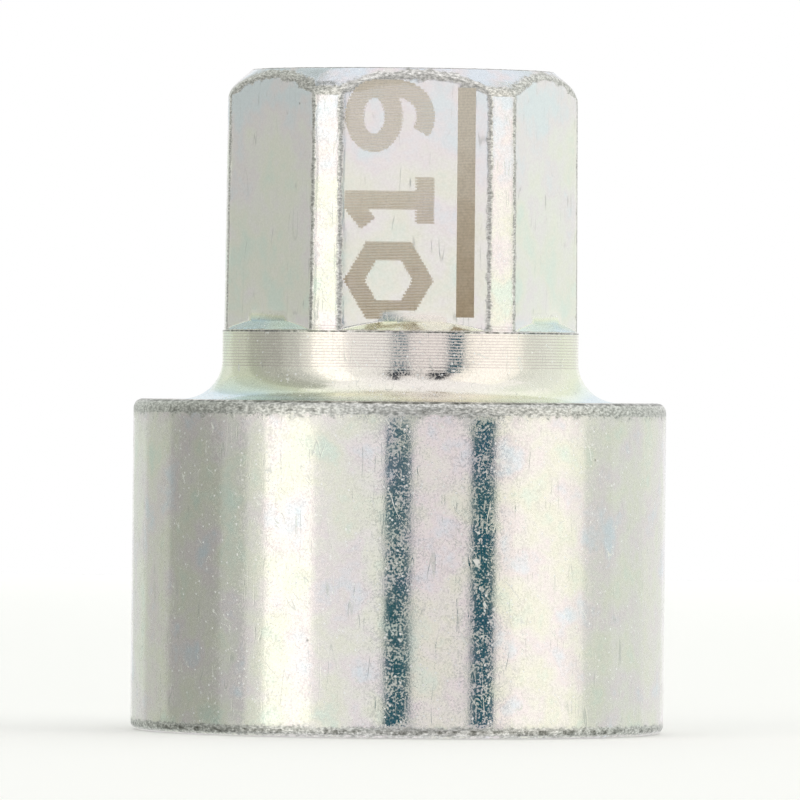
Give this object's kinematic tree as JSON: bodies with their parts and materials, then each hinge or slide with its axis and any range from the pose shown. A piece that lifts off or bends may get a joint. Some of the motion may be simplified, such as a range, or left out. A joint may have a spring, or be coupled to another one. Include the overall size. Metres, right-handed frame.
{
  "type": "locking wheel nut key",
  "caption": "Steel adapter with a hexagon for a wheel brace on top and a coded socket underneath that turns a locking wheel nut.",
  "frame": {"origin": "centre of the foot ring round the mouth of the socket, on the turning axis", "axes": "+Z along the turning axis from the open socket up to the hexagon's top face, -Y out of the hexagon flat that faces the picture's camera"},
  "size_m": [0.0315, 0.0314, 0.039],
  "materials": {
    "zinc_plate": "satin"
  },
  "bodies": {
    "root": {"key_body": "zinc_plate"}
  },
  "joints": []
}
